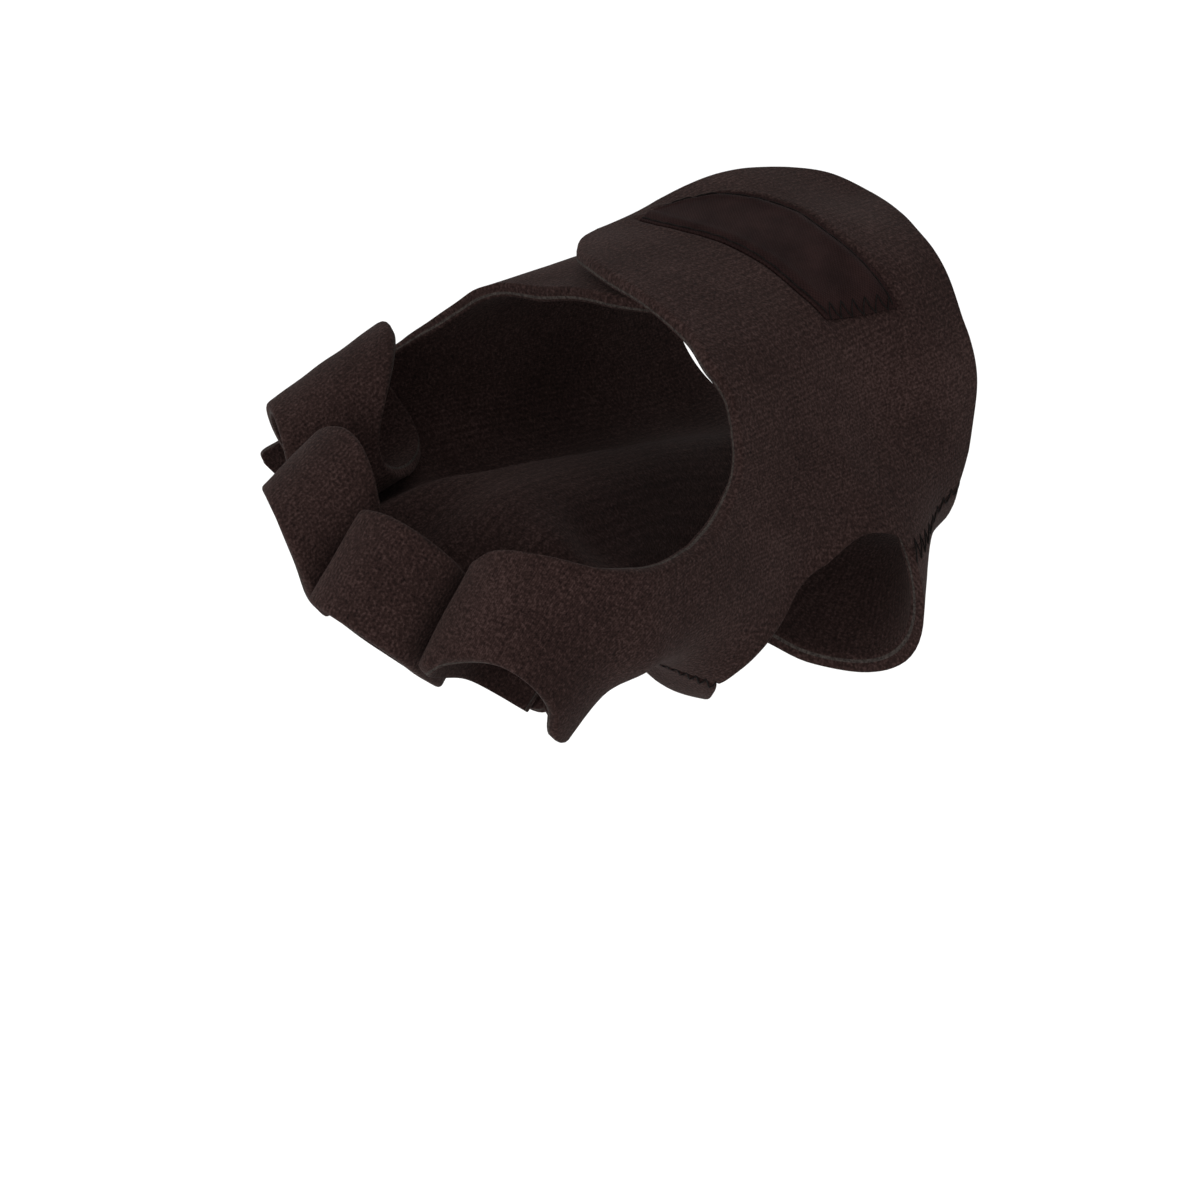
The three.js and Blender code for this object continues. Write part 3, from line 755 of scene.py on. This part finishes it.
# Colours are linear. pitch is the width of one column of knit stitches and course the length of one
# stitch, in metres.
knit = {
    "pitch": 0.00072,
    "course": 0.00058,
    "drift": 2.2,  # how far the columns wander, in radians
    "slant": 3.1,  # how far a stitch leans, in radians
    "columnWave": 0.08,
    "courseWave": 0.035,
    "wanderScale": 420,
    "fuzz": 2.1,
    "fuzzScale": 2100,
    "patches": 0.3,
    "patchScale": 46,
    "contrast": 0.42,
    "positions": (0.22, 0.5, 0.82),
    "colours": ((0.0022, 0.0009, 0.0008), (0.0140, 0.0072, 0.0063), (0.0440, 0.0258, 0.0234)),
    "roughness": 0.97,
    "sheen": 0.02,
    "sheenTint": (0.9, 0.66, 0.6, 1),
    "liningTone": 0.85,
    "bump": 0.55,
    "bumpDepth": 0.00026,
}


# Fine jersey: columns of slanted stitches from two sine waves of the cloth's own lengths, a loose
# fuzz of noise over them, and slow patches of lighter and darker dye.
def jerseyMaterial(name, tone=1.0):
    material, nodes, links, shader = startMaterial(name, knit)
    shader.inputs["Sheen Tint"].default_value = knit["sheenTint"]
    lengths, along, around = clothLengths(nodes, links)
    wander = addNoise(nodes, links, knit["wanderScale"], 2, 0.6, lengths)
    drift = addMath(nodes, links, "MULTIPLY", wander, knit["drift"])
    column = addMath(nodes, links, "MULTIPLY", around, 2 * math.pi / knit["pitch"])
    column = addMath(nodes, links, "ADD", column, drift)
    columnWave = addMath(nodes, links, "COSINE", column)
    halfColumn = addMath(nodes, links, "MULTIPLY", column, 0.5)
    slant = addMath(nodes, links, "ABSOLUTE", addMath(nodes, links, "SINE", halfColumn))
    course = addMath(nodes, links, "MULTIPLY", along, 2 * math.pi / knit["course"])
    course = addMath(nodes, links, "ADD", course, addMath(nodes, links, "MULTIPLY", slant, knit["slant"]))
    courseWave = addMath(nodes, links, "SINE", course)
    columnHeight = addMath(nodes, links, "MULTIPLY", columnWave, knit["columnWave"])
    courseHeight = addMath(nodes, links, "MULTIPLY", courseWave, knit["courseWave"])
    weave = addMath(nodes, links, "ADD", columnHeight, courseHeight)
    fuzz = addCentred(nodes, links, addNoise(nodes, links, knit["fuzzScale"], 2, 0.6), knit["fuzz"])
    height = addMath(nodes, links, "ADD", weave, fuzz)
    dye = addCentred(nodes, links, addNoise(nodes, links, knit["patchScale"], 3, 0.55), knit["patches"])
    shade = addMath(nodes, links, "ADD", addMath(nodes, links, "MULTIPLY", height, knit["contrast"]), dye)
    shade = addMath(nodes, links, "ADD", shade, 0.5)
    addSurface(nodes, links, shader, knit, shade, height, tone)
    return material


foam = {
    "scale": 1900,
    "positions": (0.35, 0.68),
    "colours": ((0.010, 0.0075, 0.0068), (0.044, 0.036, 0.032)),
    "roughness": 0.9,
    "bump": 0.6,
    "bumpDepth": 0.0003,
}


# Cut foam edge: pale grey-brown cells of one fine noise.
def foamEdgeMaterial(name):
    material, nodes, links, shader = startMaterial(name, foam)
    cells = addNoise(nodes, links, foam["scale"], 3, 0.7)
    addSurface(nodes, links, shader, foam, cells, cells)
    return material


weaving = {
    "warp": 0.00042,
    "weft": 0.00055,
    "depth": 0.22,
    "patchScale": 160,
    "positions": (0.25, 0.85),
    "colours": ((0.0060, 0.0022, 0.0020), (0.0165, 0.0076, 0.0070)),
    "roughness": 0.88,
    "bump": 0.4,
    "bumpDepth": 0.00012,
}


# Woven tape: the product of two fine sine waves of the cloth's own lengths, with slow patches.
def wovenMaterial(name):
    material, nodes, links, shader = startMaterial(name, weaving)
    along, around = clothLengths(nodes, links)[1:]
    warp = addWave(nodes, links, around, weaving["warp"])
    weft = addWave(nodes, links, along, weaving["weft"])
    height = addMath(nodes, links, "MULTIPLY", warp, weft)
    patches = addNoise(nodes, links, weaving["patchScale"], 3, 0.6)
    ribs = addMath(nodes, links, "MULTIPLY", height, weaving["depth"])
    shade = addMath(nodes, links, "ADD", ribs, patches)
    addSurface(nodes, links, shader, weaving, shade, height)
    return material


hookDots = {
    "rows": 0.0014,
    "along": 0.0011,
    "positions": (0.1, 0.8),
    "colours": ((0.006, 0.006, 0.006), (0.021, 0.020, 0.020)),
    "roughness": 0.7,
    "bump": 1.0,
    "bumpDepth": 0.0006,
}


# Hook tape: rows of small hooks as a dotted height, the product of two sine waves.
def hookMaterial(name):
    material, nodes, links, shader = startMaterial(name, hookDots)
    along, around = clothLengths(nodes, links)[1:]
    rows = addWave(nodes, links, along, hookDots["rows"])
    dots = addWave(nodes, links, around, hookDots["along"])
    height = addMath(nodes, links, "MULTIPLY", rows, dots)
    addSurface(nodes, links, shader, hookDots, height, height)
    return material


yarn = {
    "scale": 2600,
    "positions": (0.3, 0.7),
    "colours": ((0.002, 0.0015, 0.0014), (0.007, 0.0055, 0.005)),
    "roughness": 0.9,
    "bump": 0.4,
    "bumpDepth": 0.0001,
}


# Sewing thread: twisted strands as a fine noise.
def threadMaterial(name):
    material, nodes, links, shader = startMaterial(name, yarn)
    strands = addNoise(nodes, links, yarn["scale"], 2, 0.5)
    addSurface(nodes, links, shader, yarn, strands, strands)
    return material


jersey = jerseyMaterial("jersey")
lining = jerseyMaterial("lining", knit["liningTone"])
foamEdge = foamEdgeMaterial("foam_edge")
labelWeave = wovenMaterial("label_weave")
hookTape = hookMaterial("hook_tape_cloth")
darkThread = threadMaterial("dark_thread")
sheetMaterials = [jersey, lining, foamEdge]
print("materials ready")

# The wrap: index band, web, strap and flap in one sheet. groove is how deep the label's seams pull
# the cloth in, and puff how far it swells beside them, all in millimetres.
wrap = {
    "steps": 8,
    "columns": (84,),
    "seamInset": 0.6,
    "groove": 0.55,
    "grooveWidth": 0.8,
    "puff": 0.18,
    "puffAway": 1.9,
    "puffWidth": 0.9,
    "folds": 0.12,
}


# Distance in millimetres to the line that the label is sewn down on: its two long sides and its end.
def labelSeamDistance(at, turn):
    inset = wrap["seamInset"] / form["palmLength"]
    near = np.interp(turn, [row[0][1] for row in labelRows], [row[0][0] + inset for row in labelRows])
    far = np.interp(turn, [row[1][1] for row in labelRows], [row[1][0] - inset for row in labelRows])
    (nearAt, nearTurn), (farAt, farTurn) = labelRows[0][0], labelRows[0][1]
    end = np.interp(at, (nearAt, farAt), (nearTurn, farTurn)) + wrap["seamInset"] / cloth["turnLength"]
    pastEnds = np.maximum(np.maximum(end - turn, turn - labelRows[-1][0][1]), 0) * cloth["turnLength"]
    pastSides = np.maximum(np.maximum(near - at, at - far), 0) * form["palmLength"]
    sides = np.minimum(np.abs(at - near), np.abs(at - far)) * form["palmLength"]
    return np.minimum(np.hypot(sides, pastEnds), np.hypot((turn - end) * cloth["turnLength"], pastSides))


# Level of the wrap's inner face: the gap to the form, and the flap's climb.
def wrapLevel(at, turn):
    return cloth["innerGap"] + flapLift(at, turn)


# Low folds, less a groove g e^(-(d/w)^2) at the label's seams, with a swelling of that shape beside it.
def wrapRelief(at, turn):
    d = labelSeamDistance(at, turn)
    swelling = wrap["puff"] * np.exp(-((d - wrap["puffAway"]) / wrap["puffWidth"])**2)
    groove = wrap["groove"] * np.exp(-(d / wrap["grooveWidth"])**2)
    return softFolds(at, turn, wrap["folds"]) + swelling - groove


wrapCloth = clothSheet("wrap_cloth", wrapRows, wrap, cloth["wall"], wrapLevel, wrapLimbs, True,
                       sheetMaterials, wrapRelief)
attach(wrapCloth, "root")
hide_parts("back_wrap")

# The palm sheet, set back by the seam gap where it is sewn to the wrap.
palm = {"steps": 8, "columns": (26, 90), "seamReach": 1.4, "folds": 0.12}
setBack = cloth["seamGap"] / (form["fingerWidth"] * palm["seamReach"]) / degree
palmTable = [
    ((row[0][0], row[0][1] - (setBack if row[0] in seams.values() else 0)), *row[1:]) for row in palmRows
]


# Level of the palm sheet's inner face: the gap to the form.
def innerLevel(at, turn):
    return np.full(len(at), cloth["innerGap"])


# Low folds alone.
def palmRelief(at, turn):
    return softFolds(at, turn, palm["folds"])


palmCloth = clothSheet("palm_cloth", palmTable, palm, cloth["wall"], innerLevel, palmSheetLimbs, False,
                       sheetMaterials, palmRelief)
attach(palmCloth, "root")
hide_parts("palm_panel")

for finger in fingerOrder[1:]:
    band = fingerBand(finger, sheetMaterials)
    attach(band, "root")
    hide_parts(f"loop_{finger}")

# Hook tape between the tab and the flap.
hook = {"centre": 0.22, "steps": 20, "columns": (40,)}
half = strap["hookWidth"] / form["palmLength"] / 2
hookRows = [
    ((hook["centre"] - half, turn), (hook["centre"] + half, turn), False)
    for turn in np.linspace(*strap["hookTurns"], 3)
]


# Level of the hook tape's underside: the palm sheet's top and a gap.
def hookLevel(at, turn):
    return np.full(len(at), clothTop + cloth["layerGap"])


# Zero everywhere: a tape has no folds of its own.
def noRelief(at, turn):
    return np.zeros(len(at))


hookPiece = clothSheet("hook_tape", hookRows, hook, strap["hookThickness"], hookLevel, wrapLimbs, False,
                       [hookTape] * 3, noRelief)
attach(hookPiece, "root")
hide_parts("hook_patch")

# The label, sunk a little where its stitches pull it down. Lengths are in millimetres, turns in degrees.
label = {
    "steps": 14,
    "columns": (44,),
    "above": 0.03,
    "stitchInset": 0.9,
    "stitchTurn": 0.5,
    "stitchPitch": 1.9,
    "endTurn": 1.6,
    "zigzag": 0.9,
}


# Level of the label's underside: it follows the wrap's top, a little above it.
def labelLevel(at, turn):
    return clothTop + flapLift(at, turn) + wrapRelief(at, turn) + label["above"]


# Level of the label's top: its underside and its thickness.
def labelTop(at, turn):
    return labelLevel(at, turn) + strap["labelThickness"]


labelPiece = clothSheet("label_tape", labelRows, label, strap["labelThickness"], labelLevel, wrapLimbs, False,
                        [labelWeave] * 3, noRelief)
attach(labelPiece, "root")
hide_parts("label_patch")

# Rows of stitches: along the label's two long sides and its end, zigzag over the butted seams beside
# the thumb opening, and a plain row at the palm sheet's edge by the loops.
sewing = {
    "zigzagPitch": 1.2,
    "seamZigzag": 1.0,
    "edgePitch": 2.6,
    "edgeSpots": [(1.3, -84), (1.3, palmTurn), (1.31, -120), (1.32, -145)],
}


# Level of a sheet's top that nothing lifts: the gap to the form and the wall.
def sheetTop(at, turn):
    return np.full(len(at), clothTop)


inset = label["stitchInset"] / form["palmLength"]
nearEdge = [(row[0][0] + inset, row[0][1] + label["stitchTurn"]) for row in labelRows]
farEdge = [(row[1][0] - inset, row[1][1] + label["stitchTurn"]) for row in labelRows]
labelEnd = [(at, turn + label["endTurn"]) for at, turn in labelRows[0][:2]]
nearSeam, farSeam = (
    [(seams[name][0], seams[name][1] - setBack / 2) for name in names]
    for names in (("wristEdge", "wristMiddle", "thumbNear"), ("thumbFar", "webMiddle", "webEnd"))
)
onLabel = (labelTop, wrapLimbs, False)
overSeam = (sheetTop, wrapLimbs, True)
atEdge = (sheetTop, palmSheetLimbs, False)
seamPitch, seamSwing = sewing["zigzagPitch"], sewing["seamZigzag"]
threads = [
    stitchRow("label_stitches_wrist", nearEdge, label["stitchPitch"], 0, *onLabel),
    stitchRow("label_stitches_finger", farEdge, label["stitchPitch"], 0, *onLabel),
    stitchRow("label_stitches_end", labelEnd, seamPitch, label["zigzag"], *onLabel),
    stitchRow("thumb_seam_stitches", nearSeam, seamPitch, seamSwing, *overSeam),
    stitchRow("web_seam_stitches", farSeam, seamPitch, seamSwing, *overSeam),
    stitchRow("finger_edge_stitches", sewing["edgeSpots"], sewing["edgePitch"], 0, *atEdge),
]
for thread in threads:
    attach(thread, "root")
print("threads ready:", len(threads))

# Floor, light and camera.
studio = {
    "floorHeight": -0.16,
    "floorSize": 6.0,
    "floorColour": (0.92, 0.92, 0.915, 1),
    "worldStrength": 1.03,
    "target": (0, -0.05, 0),
    "lights": [
        ("key", (0.4, -0.9, 0.28), 0.8, 5.5),
        ("fill", (-0.35, -0.75, 0.45), 0.8, 1.8),
        ("back", (-0.4, 0.8, 0.5), 0.7, 0.5),
    ],
}


# Square floor, clear from below: the shader mixes to transparent on back faces.
def addFloor():
    half = studio["floorSize"] / 2
    z = studio["floorHeight"]
    corners = [(-half, -half, z), (half, -half, z), (half, half, z), (-half, half, z)]
    mesh = bpy.data.meshes.new("floor")
    mesh.from_pydata(corners, [], [(0, 1, 2, 3)])
    floor = bpy.data.objects.new("floor", mesh)
    bpy.context.scene.collection.objects.link(floor)
    material = bpy.data.materials.new("floor")
    material.use_nodes = True
    nodes, links = material.node_tree.nodes, material.node_tree.links
    shader = nodes["Principled BSDF"]
    shader.inputs["Base Color"].default_value = studio["floorColour"]
    shader.inputs["Roughness"].default_value = 0.8
    clear = nodes.new("ShaderNodeBsdfTransparent")
    mix = nodes.new("ShaderNodeMixShader")
    geometry = nodes.new("ShaderNodeNewGeometry")
    links.new(geometry.outputs["Backfacing"], mix.inputs[0])
    links.new(shader.outputs[0], mix.inputs[1])
    links.new(clear.outputs[0], mix.inputs[2])
    links.new(mix.outputs[0], nodes["Material Output"].inputs[0])
    mesh.materials.append(material)


# Round area light of a diameter and power, turned so that it looks at the target.
def addLight(name, location, target, size, power):
    data = bpy.data.lights.new(name, "AREA")
    data.shape = "DISK"
    data.size = size
    data.energy = power
    light = bpy.data.objects.new(name, data)
    light.location = location
    light.rotation_euler = (Vector(target) - Vector(location)).to_track_quat("-Z", "Y").to_euler()
    bpy.context.scene.collection.objects.link(light)


addFloor()
for name, location, size, power in studio["lights"]:
    addLight(name, location, studio["target"], size, power)
world = bpy.data.worlds.new("studio")
world.use_nodes = True
background = world.node_tree.nodes["Background"]
background.inputs["Color"].default_value = (1, 1, 1, 1)
background.inputs["Strength"].default_value = studio["worldStrength"]
bpy.context.scene.world = world
bpy.context.scene.view_settings.view_transform = "Standard"

view = {
    "eye": (0.32723, -0.40586, 0.2724),
    "aim": (0.00749, -0.0595, -0.02993),
    "roll": 3.24,
    "lens": 95,
    "sensor": 36,
}
cameraData = bpy.data.cameras.new("camera")
cameraData.lens = view["lens"]
cameraData.sensor_width = view["sensor"]
cameraData.clip_start = 0.01
camera = bpy.data.objects.new("camera", cameraData)
bpy.context.scene.collection.objects.link(camera)
look = (Vector(view["aim"]) - Vector(view["eye"])).to_track_quat("-Z", "Y").to_matrix().to_4x4()
camera.matrix_world = Matrix.Translation(view["eye"]) @ look @ Matrix.Rotation(view["roll"] * degree, 4, "Z")
bpy.context.scene.camera = camera
print("camera and lights ready")
